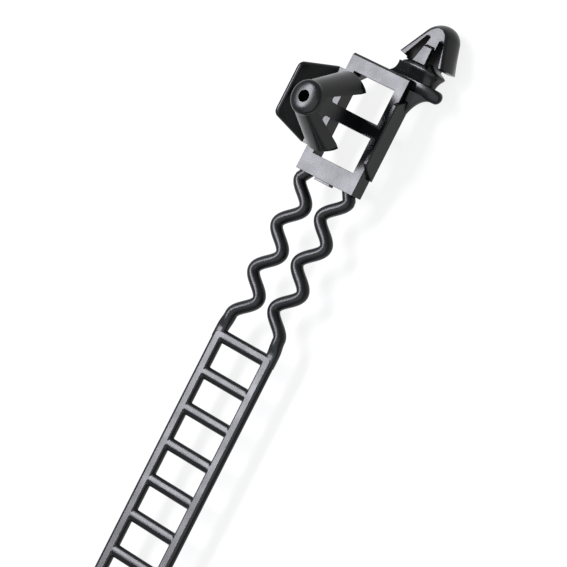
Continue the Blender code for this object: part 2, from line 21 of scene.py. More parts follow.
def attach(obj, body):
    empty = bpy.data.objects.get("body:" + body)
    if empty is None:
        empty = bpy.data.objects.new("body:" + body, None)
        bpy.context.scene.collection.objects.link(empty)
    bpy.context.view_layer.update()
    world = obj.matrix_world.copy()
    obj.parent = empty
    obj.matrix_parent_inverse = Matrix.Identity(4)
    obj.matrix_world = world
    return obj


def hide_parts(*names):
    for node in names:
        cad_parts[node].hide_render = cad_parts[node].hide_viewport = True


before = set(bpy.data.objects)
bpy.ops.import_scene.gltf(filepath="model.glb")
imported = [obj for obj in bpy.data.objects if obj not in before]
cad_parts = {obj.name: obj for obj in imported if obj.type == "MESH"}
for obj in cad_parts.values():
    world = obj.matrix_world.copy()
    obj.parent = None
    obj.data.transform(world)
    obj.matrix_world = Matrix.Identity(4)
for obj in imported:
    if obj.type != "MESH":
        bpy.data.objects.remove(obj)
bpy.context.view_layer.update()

MM = 0.001
NODE = "ladder_cable_tie"
BODY = "root"

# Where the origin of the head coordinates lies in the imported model
HEAD_PLACE = Vector((-0.04715, 48.96, 6.0998)) * MM

# How far fused shapes run into each other, and how far one stays inside a face that both share
FUSE = 0.4
SINK = FUSE / 4

# Points closer than this are one: in a new mesh, and in one that gets rounded edges
WELD = 1e-5
COARSE_WELD = 1e-3

# Faces that fold less than this are one, edges that fold more than this are rounded
FLAT_FOLD = math.radians(0.5)
EDGE_FOLD = math.radians(28.0)
EDGE_FACETS = 3

Triple = tuple[float, float, float]
Outline = list[tuple[float, float]]
Ring = list[Vector]
Solid = bpy.types.Object

log = logging.getLogger("cable_tie")


def linear(hex_colour: str) -> tuple[float, float, float, float]:
    """Turn an sRGB hex colour into linear RGBA.

    Args:
        hex_colour: six hex digits after a hash sign.

    Returns:
        The linear colour with an alpha of 1.
    """
    channels = [int(hex_colour[i : i + 2], 16) / 255 for i in (1, 3, 5)]
    r, g, b = (c / 12.92 if c <= 0.04045 else ((c + 0.055) / 1.055) ** 2.4 for c in channels)
    return (r, g, b, 1.0)


def add_node(
    tree: bpy.types.NodeTree,
    kind: str,
    settings: dict[Any, Any] | None = None,
    links: dict[Any, Any] | None = None,
) -> bpy.types.Node:
    """Add a shader node with its settings and links.

    Args:
        tree: the node tree that gets the node.
        kind: the node's Blender type.
        settings: values by attribute name, or by input when the key names or numbers a socket.
        links: output sockets by the input that each one feeds.

    Returns:
        The new node.
    """
    node = tree.nodes.new(kind)
    for key, value in (settings or {}).items():
        if isinstance(key, str) and hasattr(node, key):
            setattr(node, key, value)
        else:
            node.inputs[key].default_value = value
    for key, socket in (links or {}).items():
        tree.links.new(socket, node.inputs[key])
    return node


# Curves and outlines


def sweep(end: float, steps: int) -> list[float]:
    """Return evenly spaced values from 0 to an end value."""
    return [end * i / steps for i in range(steps + 1)]


def smooth_step(t: float) -> float:
    """Return an S-curve from 0 to 1."""
    return (1 - math.cos(math.pi * t)) / 2


def oval_point(angle: float, squareness: float) -> tuple[float, float]:
    """Find a point of an oval of half size 1.

    Args:
        angle: where on the oval.
        squareness: 2 for a circle, more for squarer corners.

    Returns:
        The point.
    """
    across, up = math.cos(angle), math.sin(angle)
    power = 2 / squareness
    return math.copysign(abs(across) ** power, across), math.copysign(abs(up) ** power, up)


def rectangle(left: float, right: float, low: float, high: float) -> Outline:
    """Return the corners of a rectangle, anticlockwise."""
    return [(left, low), (right, low), (right, high), (left, high)]


def rounded_outline(corners: Outline, radii: list[float], steps: int) -> Outline:
    """Round each corner of an outline by its own radius.

    Args:
        corners: the outline's corners in order.
        radii: one radius for each corner; 0 keeps the corner.
        steps: the number of facets in each rounded corner.

    Returns:
        The points of the rounded outline.
    """
    points = []
    count = len(corners)
    for i, radius in enumerate(radii):
        corner = Vector(corners[i])
        if radius == 0:
            points.append(tuple(corner))
            continue
        back = (Vector(corners[i - 1]) - corner).normalized()
        ahead = (Vector(corners[(i + 1) % count]) - corner).normalized()
        half_angle = back.angle(ahead) / 2
        centre = corner + (back + ahead).normalized() * radius / math.sin(half_angle)
        reach = radius / math.tan(half_angle)
        start = corner + back * reach - centre
        turn = start.angle_signed(corner + ahead * reach - centre)
        for angle in sweep(-turn, steps):
            points.append(tuple(centre + Matrix.Rotation(angle, 2) @ start))
    return points


def inset_outline(outline: Outline, distance: float) -> Outline:
    """Move every side of an anticlockwise outline inwards.

    Args:
        outline: the outline's points.
        distance: how far each side moves.

    Returns:
        The moved outline.
    """
    moved = []
    count = len(outline)
    for i in range(count):
        here = Vector(outline[i])
        incoming = (here - Vector(outline[i - 1])).normalized()
        outgoing = (Vector(outline[(i + 1) % count]) - here).normalized()
        left_in = Vector((-incoming.y, incoming.x))
        left_out = Vector((-outgoing.y, outgoing.x))
        middle = (left_in + left_out).normalized()
        moved.append(tuple(here + middle * distance / middle.dot(left_out)))
    return moved


def round_levels(half: float, steps: int) -> Outline:
    """Step across a full round edge.

    Args:
        half: half of the edge's thickness.
        steps: the number of facets.

    Returns:
        (height, share) pairs, where the share is 0 at the edge's middle and 1 at its faces.
    """
    angles = [math.pi * (i / steps - 0.5) for i in range(steps + 1)]
    return [(half * math.sin(angle), 1 - math.cos(angle)) for angle in angles]


# Solids


class Edges(Enum):
    """The fold, in degrees, from which shading stays sharp, and the radius of rounded edges."""

    SLOTTED = (35.0, 0.0)
    BOXY = (40.0, 0.12)
    ROUND_EDGED = (50.0, 0.0)
    ROUND = (60.0, 0.0)


def add_solid(name: str, builder: bmesh.types.BMesh) -> Solid:
    """Turn a bmesh into an object whose normals face out.

    Args:
        name: the object's name.
        builder: the bmesh, which is freed.

    Returns:
        The new object, in the scene.
    """
    bmesh.ops.remove_doubles(builder, verts=builder.verts, dist=WELD)
    bmesh.ops.recalc_face_normals(builder, faces=builder.faces)
    mesh = bpy.data.meshes.new(name)
    builder.to_mesh(mesh)
    builder.free()
    solid = bpy.data.objects.new(name, mesh)
    bpy.context.scene.collection.objects.link(solid)
    return solid


def bridge(builder: bmesh.types.BMesh, rings: list[Ring]) -> None:
    """Skin closed rings of equally many points and cap both ends.

    Args:
        builder: the bmesh that gets the faces.
        rings: the rings in order.
    """
    loops = [[builder.verts.new(point) for point in ring] for ring in rings]
    for first, second in zip(loops, loops[1:]):
        for i in range(len(first)):
            j = (i + 1) % len(first)
            builder.faces.new((first[i], first[j], second[j], second[i]))
    builder.faces.new(loops[0])
    builder.faces.new(loops[-1])


def loft(name: str, rings: list[Ring]) -> Solid:
    """Make a closed solid through a row of rings.

    Args:
        name: the solid's name.
        rings: the rings in order.

    Returns:
        The new object, in the scene.
    """
    builder = bmesh.new()
    bridge(builder, rings)
    return add_solid(name, builder)


def prism_z(name: str, outline: Outline, low: float, high: float) -> Solid:
    """Extrude an outline of (x, y) points from z = low to z = high."""
    return loft(name, [[Vector((x, y, z)) for x, y in outline] for z in (low, high)])


def prism_x(name: str, outline: Outline, left: float, right: float) -> Solid:
    """Extrude an outline of (y, z) points from x = left to x = right."""
    return loft(name, [[Vector((x, y, z)) for y, z in outline] for x in (left, right)])


def box_section(y: float, left: float, right: float, back: float, front: float) -> Ring:
    """Return a square-cornered section across the Y axis."""
    return [Vector((x, y, z)) for x, z in rectangle(left, right, back, front)]


def settle(solid: Solid) -> None:
    """Replace a solid's mesh by what its modifiers give.

    Args:
        solid: the solid that changes.
    """
    bpy.context.view_layer.update()
    evaluated = solid.evaluated_get(bpy.context.evaluated_depsgraph_get())
    mesh = bpy.data.meshes.new_from_object(evaluated)
    solid.modifiers.clear()
    solid.data = mesh


def combine(solid: Solid, operation: str, tool: Solid) -> None:
    """Join a tool to a solid, or cut it out, and take the tool away.

    Args:
        solid: the solid that changes.
        operation: UNION or DIFFERENCE.
        tool: the other solid.
    """
    modifier = solid.modifiers.new(tool.name, "BOOLEAN")
    modifier.operation = operation
    modifier.solver = "EXACT"
    modifier.object = tool
    settle(solid)
    bpy.data.objects.remove(tool, do_unlink=True)


def finish(solid: Solid, edges: Edges) -> Solid:
    """Round a solid's edges and shade it smooth, with each large face kept flat.

    Args:
        solid: the solid that changes.
        edges: how its edges look.

    Returns:
        The same solid.
    """
    fold, radius = edges.value
    if radius:
        clean = bmesh.new()
        clean.from_mesh(solid.data)
        bmesh.ops.remove_doubles(clean, verts=clean.verts, dist=COARSE_WELD)
        bmesh.ops.dissolve_limit(
            clean, angle_limit=FLAT_FOLD, verts=clean.verts, edges=clean.edges, delimit={"NORMAL"}
        )
        clean.to_mesh(solid.data)
        clean.free()
        bevel = solid.modifiers.new("rounded_edges", "BEVEL")
        bevel.width = radius
        bevel.segments = EDGE_FACETS
        bevel.limit_method = "ANGLE"
        bevel.angle_limit = EDGE_FOLD
        settle(solid)
    solid.data.shade_smooth()
    solid.data.set_sharp_from_angle(angle=math.radians(fold))
    weight = solid.modifiers.new("flat_faces", "WEIGHTED_NORMAL")
    weight.keep_sharp = True
    settle(solid)
    return solid


# Finishes


def sees_background(tree: bpy.types.NodeTree) -> bpy.types.NodeSocket:
    """Find which rays show the background: the camera's, and mirrored and refracted ones.

    Args:
        tree: the node tree that asks.

    Returns:
        A socket that is 1 for these rays and 0 for all others.
    """
    path = add_node(tree, "ShaderNodeLightPath")
    value = path.outputs["Is Camera Ray"]
    for kind in ("Is Glossy Ray", "Is Transmission Ray"):
        links = {0: value, 1: path.outputs[kind]}
        value = add_node(tree, "ShaderNodeMath", {"operation": "MAXIMUM"}, links).outputs[0]
    return value


class Polish(Enum):
    """How the steel mould was finished, with the lowest and highest roughness that it gives."""

    SATIN = (0.22, 0.29)
    MATT = (0.27, 0.34)


@dataclass(frozen=True)
class MouldedNylon:
    """Polyamide 6.6, injection moulded and dyed black."""

    name: str
    polish: Polish
    colour: str = "#08090A"
    pale_colour: str = "#0F1112"
    ior: float = 1.53
    specular_level: float = 0.25
    patch_mm: float = 3.0
    patch_detail: float = 3.0
    patch_low: float = 0.3
    patch_high: float = 0.7
    flow_mm: float = 0.5
    flow_stretch: float = 0.15
    flow_strength: float = 0.06
    grain_mm: float = 0.35
    grain_strength: float = 0.04
    relief_detail: float = 2.0
    relief_mm: float = 0.01

    def build(self) -> bpy.types.Material:
        """Make a nylon whose sheen and skin vary a little, as a moulding's do.

        Returns:
            The material.
        """
        # Dyed nylon straight from a polished steel mould: nearly black, with a soft sheen that
        # mirrors a softbox as pale grey on flat faces. The sheen is patchy where the melt cooled
        # unevenly, and the skin carries a fine grain and faint flow lines. The real grain is
        # about 0.1 mm, too fine to show here, so it is drawn three times as coarse.
        material = bpy.data.materials.new(self.name)
        material.use_nodes = True
        tree = material.node_tree
        shader = tree.nodes["Principled BSDF"]
        shader.inputs["IOR"].default_value = self.ior
        shader.inputs["Specular IOR Level"].default_value = self.specular_level
        low, high = self.polish.value
        place = add_node(tree, "ShaderNodeTexCoord").outputs["Object"]
        settings = {"Scale": 1 / (self.patch_mm * MM), "Detail": self.patch_detail}
        patches = add_node(tree, "ShaderNodeTexNoise", settings, {"Vector": place}).outputs["Fac"]
        settings = {"From Min": self.patch_low, "From Max": self.patch_high}
        settings |= {"To Min": low, "To Max": high}
        sheen = add_node(tree, "ShaderNodeMapRange", settings, {"Value": patches})
        tree.links.new(sheen.outputs["Result"], shader.inputs["Roughness"])
        settings = {"data_type": "RGBA", 6: linear(self.colour), 7: linear(self.pale_colour)}
        tint = add_node(tree, "ShaderNodeMix", settings, {0: patches})
        tree.links.new(tint.outputs[2], shader.inputs["Base Color"])
        settings = {"Scale": (1.0, self.flow_stretch, 1.0)}
        stretch = add_node(tree, "ShaderNodeMapping", settings, {"Vector": place})
        relief = {}
        for size, strength, vector in (
            (self.flow_mm, self.flow_strength, stretch.outputs["Vector"]),
            (self.grain_mm, self.grain_strength, place),
        ):
            settings = {"Scale": 1 / (size * MM), "Detail": self.relief_detail}
            skin = add_node(tree, "ShaderNodeTexNoise", settings, {"Vector": vector})
            relief["Height"] = skin.outputs["Fac"]
            settings = {"Strength": strength, "Distance": self.relief_mm * MM}
            relief["Normal"] = add_node(tree, "ShaderNodeBump", settings, relief).outputs["Normal"]
        tree.links.new(relief["Normal"], shader.inputs["Normal"])
        return material


@dataclass(frozen=True)
class WhitePaper:
    """Uncoated matt paper, such as a studio sweep."""

    name: str = "white_paper_sweep"
    colour: str = "#646464"
    roughness: float = 0.9
    burnt_out: float = 0.85

    def build(self) -> bpy.types.Material:
        """Make a paper that shows white and still takes the object's shadow.

        Returns:
            The material.
        """
        # Uncoated paper scatters light evenly and shows no gloss. In a product photograph it is
        # burnt out, so most of its white is added for the rays that show the background, and the
        # rest is lit by the lamps and shaded by the object.
        material = bpy.data.materials.new(self.name)
        material.use_nodes = True
        tree = material.node_tree
        paper = tree.nodes["Principled BSDF"]
        paper.inputs["Base Color"].default_value = linear(self.colour)
        paper.inputs["Roughness"].default_value = self.roughness
        settings = {"operation": "MULTIPLY", 1: self.burnt_out}
        share = add_node(tree, "ShaderNodeMath", settings, {0: sees_background(tree)})
        glow = add_node(tree, "ShaderNodeEmission", links={"Strength": share.outputs[0]})
        lit = add_node(tree, "ShaderNodeAddShader", links={0: paper.outputs[0], 1: glow.outputs[0]})
        tree.links.new(lit.outputs[0], tree.nodes["Material Output"].inputs["Surface"])
        return material


# Sub-assemblies


@dataclass
class HeadFrame:
    """The head's flat frame, with two windows, a gusset, a gate mark and the plate's ledge."""

    width: float = 12.0
    length: float = 20.1
    depth: float = 2.8
    top_edge: float = 0.35
    top_bar: float = 2.35
    bottom_bar: float = 3.25
    side_bar: float = 1.7
    middle_bar: float = 2.35
    gusset: float = 1.0
    gusset_depth: float = 1.4
    gate_width: float = 3.2
    gate_height: float = 0.4
    gate_depth: float = 1.2
    gate_offset: float = -0.8
    ledge_width: float = 1.1
    ledge_length: float = 13.4
    ledge_shift: float = 0.2

    @property
    def top(self) -> float:
        """Height of the head's top."""
        return self.length / 2

    @property
    def right(self) -> float:
        """Place of the head's right side."""
        return self.width / 2

    @property
    def ledge(self) -> float:
        """Place of the ledge's outer side."""
        return -self.width / 2 - self.ledge_width

    @property
    def window_top(self) -> float:
        """Height of the upper window's top."""
        return self.top - self.top_bar

    @property
    def window_bottom(self) -> float:
        """Height of the lower window's bottom."""
        return self.bottom_bar - self.top

    @property
    def middle(self) -> float:
        """Height of the middle bar's centre line."""
        return (self.window_top + self.window_bottom) / 2

    def outline(self, top: float) -> Outline:
        """Draw the head with its ledge.

        Args:
            top: height of its top side.

        Returns:
            The outline, anticlockwise.
        """
        left = -self.width / 2
        low = self.middle + self.ledge_shift - self.ledge_length / 2
        high = self.middle + self.ledge_shift + self.ledge_length / 2
        ledge = [(left, high), (self.ledge, high), (self.ledge, low), (left, low)]
        return rectangle(left, self.right, -self.top, top) + ledge

    def build(self) -> Solid:
        """Make the frame.

        Returns:
            The finished piece.
        """
        high = self.top + self.top_edge
        rings = []
        for z, top in ((-self.depth, high), (-self.top_edge, high), (0.0, self.top)):
            rings.append([Vector((x, y, z)) for x, y in self.outline(top)])
        head = loft("head_frame", rings)
        left = -self.width / 2 + self.side_bar
        right = self.right - self.side_bar
        for name, low, up in (
            ("lower_window", self.window_bottom, self.middle - self.middle_bar / 2),
            ("upper_window", self.middle + self.middle_bar / 2, self.window_top),
        ):
            window = rectangle(left, right, low, up)
            combine(head, "DIFFERENCE", prism_z(name, window, -self.depth - FUSE, FUSE))
        low, high = self.window_top - self.gusset, self.window_top + FUSE
        corner = [(left - FUSE, high), (left - FUSE, low), (left, low)]
        corner += [(left + self.gusset, self.window_top), (left + self.gusset, high)]
        back = -self.depth + SINK
        combine(head, "UNION", prism_z("gusset", corner, back, back + self.gusset_depth))
        sides = [self.gate_offset + side * self.gate_width / 2 for side in (-1, 1)]
        gate = rectangle(*sides, -self.top - self.gate_height, FUSE - self.top)
        back = -(self.depth + self.gate_depth) / 2
        combine(head, "UNION", prism_z("gate_mark", gate, back, back + self.gate_depth))
        return finish(head, Edges.BOXY)


@dataclass
class GuidePlate:
    """The trapezoid plate that leans outwards from the ledge."""

    head: HeadFrame
    edge: float = 9.2
    height: float = 6.5
    thickness: float = 1.1
    corner: float = 1.2
    root: float = 1.6
    lean: float = math.radians(27.5)
    edge_round: float = 0.5
    corner_steps: int = 10
    edge_steps: int = 12

    def build(self) -> Solid:
        """Make the plate.

        Returns:
            The finished piece.
        """
        base = self.head.ledge_length / 2
        edge = self.edge / 2
        corners = [(-base, -self.root), (base, -self.root), (base, 0.0), (edge, self.height)]
        corners += [(-edge, self.height), (-base, 0.0)]
        radii = [0, 0, 0, self.corner, self.corner, 0]
        outline = rounded_outline(corners, radii, self.corner_steps)
        up = Vector((-math.sin(self.lean), 0.0, math.cos(self.lean)))
        out = Vector((-math.cos(self.lean), 0.0, -math.sin(self.lean)))
        foot = Vector((self.head.ledge, self.head.middle + self.head.ledge_shift, 0.0))
        along = Vector((0.0, 1.0, 0.0))
        half = self.thickness / 2
        rings = []
        for height, share in round_levels(half, self.edge_steps):
            inner = inset_outline(outline, self.edge_round * share)
            rings.append([foot + along * y + up * s + out * (height + half) for y, s in inner])
        return finish(loft("guide_plate", rings), Edges.ROUND_EDGED)


@dataclass
class GuideRib:
    """The low rib on the right bar, with an S-shaped ramp at each end."""

    head: HeadFrame
    thickness: float = 0.58
    height: float = 0.87
    crest: float = 10.0
    ramp: float = 2.25
    drop: float = 2.0
    edge_round: float = 0.22
    ramp_steps: int = 20
    edge_steps: int = 6

    def build(self) -> Solid:
        """Make the rib.

        Returns:
            The finished piece.
        """
        line = []
        for t in sweep(1.0, self.ramp_steps):
            fall = (self.height + self.drop) * smooth_step(t)
            line.append((self.crest / 2 + self.ramp * t, self.height - fall))
        bottom = -self.head.depth + SINK
        middle = self.head.middle
        outline = [(middle - y, z) for y, z in reversed(line)]
        outline += [(middle + y, z) for y, z in line]
        outline += [(middle + line[-1][0], bottom), (middle - line[-1][0], bottom)]
        outline.reverse()
        shoulder = self.head.right + self.thickness - self.edge_round
        levels = [(self.head.right - SINK, 0.0)]
        for rise, share in round_levels(self.edge_round, 2 * self.edge_steps)[self.edge_steps :]:
            levels.append((shoulder + rise, self.edge_round * share))
        rings = []
        for x, inset in levels:
            rings.append([Vector((x, y, z)) for y, z in inset_outline(outline, inset)])
        return finish(loft("guide_rib", rings), Edges.ROUND_EDGED)


@dataclass
class LockingPost:
    """The arrow-shaped post: a bored round nose, two sprung legs and the stem between them."""

    head: HeadFrame
    offset: float = -0.5
    height: float = 14.5
    foot_depth: float = 2 * FUSE
    cut_depth: float = 3 * FUSE
    nose_radius: float = 2.9
    nose_drop: float = 1.25
    nose_squareness: float = 3.1
    nose_tip: float = 0.02
    bore_radius: float = 1.0
    bore_depth: float = 4.0
    web_width: float = 4.6
    web_top: float = 12.8
    web_gap: float = 1.3
    leg_thickness: float = 1.85
    leg_end_radius: float = 3.4
    leg_spread: float = 13.5
    leg_end_height: float = 4.0
    leg_end_rise: float = 1.7
    leg_hook: float = 0.35
    stem_thickness: float = 2.3
    crotch_height: float = 10.4
    arc_steps: int = 16
    level_steps: int = 14
    crotch_steps: int = 12
    bore_steps: int = 48

    def ring(self, height: float, radius: float, spread: float) -> Ring:
        """Draw the round outer sides of both legs at one height.

        Args:
            height: where the post is cut.
            radius: radius of the legs' outer sides.
            spread: how far their centres stand from the post's middle.

        Returns:
            The section's points.
        """
        points = []
        for side in (1, -1):
            for i in range(2 * self.arc_steps + 1):
                angle = math.pi / 2 * (i / self.arc_steps - 1)
                x = self.offset - side * radius * math.sin(angle)
                y = self.head.middle + side * (spread + radius * math.cos(angle))
                points.append(Vector((x, y, height)))
        return points

    def inside(self, z: float) -> float:
        """Find how far the inner face of a leg stands from the post's middle.

        Args:
            z: where the post is cut.

        Returns:
            The distance.
        """
        end = self.leg_spread / 2 - self.leg_thickness
        climb = z - self.leg_end_height
        return end + (self.web_gap - end) * climb / (self.web_top - self.leg_end_height)

    def crotch(self, side: int) -> Outline:
        """Draw the space beside the stem and under the end of one leg.

        Args:
            side: 1 for the upper leg, -1 for the lower one.

        Returns:
            The outline's (y, z) points.
        """
        stem = self.stem_thickness / 2
        end = self.inside(self.leg_end_height)
        outside = self.leg_spread / 2 + 2 * FUSE
        radius = (self.inside(self.crotch_height) - stem) / 2
        outline = [(stem, -self.cut_depth)]
        for t in sweep(1.0, self.crotch_steps):
            angle = math.pi * (1 - t)
            rise = radius * (math.sin(angle) - 1)
            outline.append((stem + radius + radius * math.cos(angle), self.crotch_height + rise))
        hook_top = self.leg_end_height + 2 * self.leg_hook
        slope = self.leg_end_rise / self.leg_thickness
        outline += [
            (self.inside(hook_top), hook_top),
            (end - self.leg_hook, self.leg_end_height),
            (end + self.leg_hook, self.leg_end_height + self.leg_hook),
            (outside, self.leg_end_height + slope * (outside - end)),
            (outside, -self.cut_depth),
        ]
        return [(self.head.middle + side * y, z) for y, z in outline]

    def build(self) -> Solid:
        """Make the post.

        Returns:
            The finished piece.
        """
        nose_z = self.height - self.nose_drop
        end_z = self.leg_end_height + self.leg_end_rise
        spread = self.leg_spread / 2 - self.leg_end_radius
        power = 2 / self.nose_squareness
        rings = []
        for angle in sweep(math.pi / 2, self.level_steps):
            radius = self.nose_radius * max(math.sin(angle), self.nose_tip) ** power
            rings.append(self.ring(nose_z + self.nose_drop * math.cos(angle) ** power, radius, 0.0))
        for t in sweep(1.0, self.level_steps)[1:]:
            radius = self.nose_radius + (self.leg_end_radius - self.nose_radius) * t
            rings.append(self.ring(nose_z + (end_z - nose_z) * t, radius, spread * t))
        rings.append(self.ring(-self.foot_depth, self.leg_end_radius, spread))
        post = loft("locking_post", rings)
        reach = self.leg_end_radius + FUSE
        for name, side in (("upper_crotch", 1), ("lower_crotch", -1)):
            crotch = prism_x(name, self.crotch(side), self.offset - reach, self.offset + reach)
            combine(post, "DIFFERENCE", crotch)
        low = -self.cut_depth
        wide, slim = self.inside(low), self.inside(self.web_top)
        sides = [(wide, low), (slim, self.web_top), (-slim, self.web_top), (-wide, low)]
        web = [(self.head.middle + y, z) for y, z in sides]
        flat = self.web_width / 2
        for name, side in (("near_flat", 1), ("far_flat", -1)):
            left, right = sorted((self.offset + side * flat, self.offset + side * reach))
            combine(post, "DIFFERENCE", prism_x(name, web, left, right))
        circle = []
        for angle in sweep(math.tau, self.bore_steps)[:-1]:
            x = self.offset + self.bore_radius * math.cos(angle)
            circle.append((x, self.head.middle + self.bore_radius * math.sin(angle)))
        bore = prism_z("post_bore", circle, self.height - self.bore_depth, self.height + FUSE)
        combine(post, "DIFFERENCE", bore)
        return finish(post, Edges.BOXY)


@dataclass
class ArrowMount:
    """The push-in arrowhead that leans back, with its shank, collar, support disc and webs."""

    head: HeadFrame
    rib: GuideRib
    offset: float = 5.75
    axis_depth: float = 2.6
    front_flat: float = 2.2
    back_flat: float = 2.5
    lean: float = math.radians(10.5)
    clearance: float = 3.78
    length: float = 6.7
    radius: float = 4.85
    nose_radius: float = 3.1
    tip_share: float = 0.25
    wing_slope: float = 1.36
    wing_rise: float = 0.36
    wing_lip: float = 0.3
    wing_gap: float = 3.4
    wing_edge: float = 0.35
    wing_edge_share: float = 0.4
    core_shift: float = 0.25
    slot_width: float = 0.9
    slot_depth: float = 4.1
    slot_round: float = 0.4
    shank_top: float = 1.7
    shank_base: float = 2.6
    shank_reach: float = 2.3
    shank_drop: float = 0.6
    shank_foot: float = 0.5
    shank_proud: float = 0.5
    shank_slope: float = 0.4
    flap_radius: float = 3.9
    flap_depth: float = 4.6
    flap_height: float = 2.7
    flap_thickness: float = 0.5
    neck_radius: float = 3.2
    neck_depth: float = 2.3
    flare_out: float = 1.05
    flare_aside: float = 4.0
    flare_levels: tuple[float, ...] = (0.0, 0.35, 0.7, 1.0)
    collar_rise: float = 1.15
    collar_top: float = 1.7
    collar_hollow: float = 1.3
    collar_levels: tuple[float, ...] = (0.06, 0.5, 1.0)
    collar_rounds: int = 3
    collar_squareness: float = 3.0
    disc_radius: float = 5.45
    disc_depth: float = 3.8
    disc_thickness: float = 2.1
    disc_rise: float = 0.55
    disc_taper: float = 0.6
    disc_squareness: float = 2.4
    shoulder_width: float = 6.9
    shoulder_inset: float = 0.25
    shoulder_share: float = 0.93
    fillet: float = 3.5
    fillet_length: float = 5.6
    fillet_front: float = 1.0
    fillet_slope: float = 0.9
    fillet_fall: float = 0.3
    turn_steps: int = 96
    arc_steps: int = 12
    corner_steps: int = 6
    flat_steps: int = 8
    profile_steps: int = 24
    hollow_steps: int = 20

    @property
    def base(self) -> float:
        """Height of the ends of the wings."""
        return self.head.top + self.clearance

    @property
    def flare_rise(self) -> float:
        """Height of the collar's flaps above the head."""
        return self.flap_height - self.flap_thickness / 2

    def ring(self, y: float, half_width: float, half_depth: float, squareness: float) -> Ring:
        """Return a closed oval section across the mount's axis.

        Args:
            y: height of the section.
            half_width: half of its size across the strap.
            half_depth: half of its size front to back.
            squareness: 2 for an ellipse, more for squarer corners.

        Returns:
            The section's points.
        """
        points = []
        for i in range(self.turn_steps):
            across, out = oval_point(math.tau * (i + 0.5) / self.turn_steps, squareness)
            x = self.offset + half_width * across
            points.append(Vector((x, y, -self.axis_depth + half_depth * out)))
        return points

    def flattened_ring(self, y: float, radius: float) -> Ring:
        """Return a round section of the arrowhead with flats and soft corners between.

        Args:
            y: height of the section.
            radius: radius of its round sides.

        Returns:
            The section's points, equally many for every radius.
        """
        points = []
        for side, flat in ((1, self.front_flat), (-1, self.back_flat)):
            turn = math.asin(min(flat / radius, 1.0))
            corner = Vector((radius * math.cos(turn), min(flat, radius)))
            soft = min(self.wing_edge, corner.x * self.wing_edge_share)
            arc = sweep(turn - soft / radius, self.arc_steps)
            half_ring = [Vector((math.cos(angle), math.sin(angle))) * radius for angle in arc]
            start, end = half_ring[-1], Vector((corner.x - soft, corner.y))
            for t in sweep(1.0, self.corner_steps)[1:-1]:
                half_ring.append(start * (1 - t) ** 2 + corner * 2 * t * (1 - t) + end * t * t)
            half_ring += [Vector((end.x * (1 - t), corner.y)) for t in sweep(1.0, self.flat_steps)]
            half_ring += [Vector((-p.x, p.y)) for p in reversed(half_ring[1:-1])]
            for p in half_ring:
                points.append(Vector((self.offset + side * p.x, y, side * p.y - self.axis_depth)))
        return points

    def lean_back(self, solid: Solid) -> Solid:
        """Slant a part of the arrowhead backwards from the height of its wings' ends.

        Args:
            solid: the part that changes.

        Returns:
            The same part.
        """
        for vertex in solid.data.vertices:
            vertex.co.z -= (vertex.co.y - self.base) * math.tan(self.lean)
        return solid

    def build_arrow(self) -> Solid:
        """Make the two-winged arrowhead: a turned bullet with two flats and two slots.

        Returns:
            The finished piece.
        """
        centre = self.length - self.nose_radius
        distance = math.hypot(self.radius, centre)
        start = math.atan2(-centre, self.radius) + math.acos(self.nose_radius / distance)
        profile = [(self.radius, 0.0)]
        for turn in sweep(math.pi / 2 - start, self.profile_steps)[:-1]:
            across = self.nose_radius * math.cos(start + turn)
            profile.append((across, centre + self.nose_radius * math.sin(start + turn)))
        end = self.base - self.wing_rise
        inner = self.radius - self.wing_slope
        rings = [self.flattened_ring(end - self.wing_lip, inner), self.flattened_ring(end, inner)]
        rings += [self.flattened_ring(self.base + height, radius) for radius, height in profile]
        tip = self.nose_radius * math.sin(math.pi / 2 / self.profile_steps) * self.tip_share
        rings.append(self.flattened_ring(self.base + self.length, tip))
        arrow = self.lean_back(loft("arrowhead", rings))
        low = end - self.wing_lip - FUSE
        back = -self.axis_depth - self.back_flat - FUSE
        front = -self.axis_depth + self.front_flat + FUSE
        top = self.base + self.slot_depth
        inner_slope = (self.shank_base - self.shank_top) / 2 / self.slot_depth
        outer_top = self.shank_top / 2 + self.slot_width
        outer_slope = (self.wing_gap - outer_top) / self.slot_depth
        radii = [0, 0, self.slot_round, self.slot_round]
        for name, side in (("left_slot", -1), ("right_slot", 1)):
            corners = [
                (self.shank_top / 2 + inner_slope * (top - low), low),
                (outer_top + outer_slope * (top - low), low),
                (outer_top, top),
                (self.shank_top / 2, top),
            ]
            outline = [(self.offset + self.core_shift + side * x, y) for x, y in corners]
            outline = rounded_outline(outline, radii, self.flat_steps)
            combine(arrow, "DIFFERENCE", self.lean_back(prism_z(name, outline, back, front)))
        return finish(arrow, Edges.SLOTTED)

    def build_shank(self) -> Solid:
        """Make the shank, with a sloped foot on the collar.

        Returns:
            The finished piece.
        """
        foot = self.base - self.shank_drop
        top = self.base + self.shank_reach
        middle = self.offset + self.core_shift
        back = -self.axis_depth - self.back_flat
        front = -self.axis_depth + self.front_flat
        proud = front + self.shank_proud
        collar_back = -self.axis_depth - self.neck_depth / 2
        rings = []
        for y, width, low, high in (
            (foot - self.shank_foot, self.shank_base, collar_back, front - self.shank_proud),
            (foot, self.shank_base, collar_back, proud),
            (top, self.shank_top, back + SINK, proud),
            (top + self.shank_slope, self.shank_top, back + 2 * SINK, front - SINK),
        ):
            rings.append(box_section(y, middle - width / 2, middle + width / 2, low, high))
        shank = self.lean_back(loft("shank", rings))
        return finish(shank, Edges.BOXY)

    def collar_size(self, height: float) -> tuple[float, float]:
        """Find how far the collar has flared.

        Args:
            height: the height above the head, up to its flaps.

        Returns:
            Its half width and half depth.
        """
        t = max(height, 0.0) / self.flare_rise
        half_width = self.neck_radius + (self.flap_radius - self.neck_radius) * t**self.flare_aside
        depth = self.neck_depth + (self.flap_depth - self.neck_depth) * t**self.flare_out
        return half_width, depth / 2

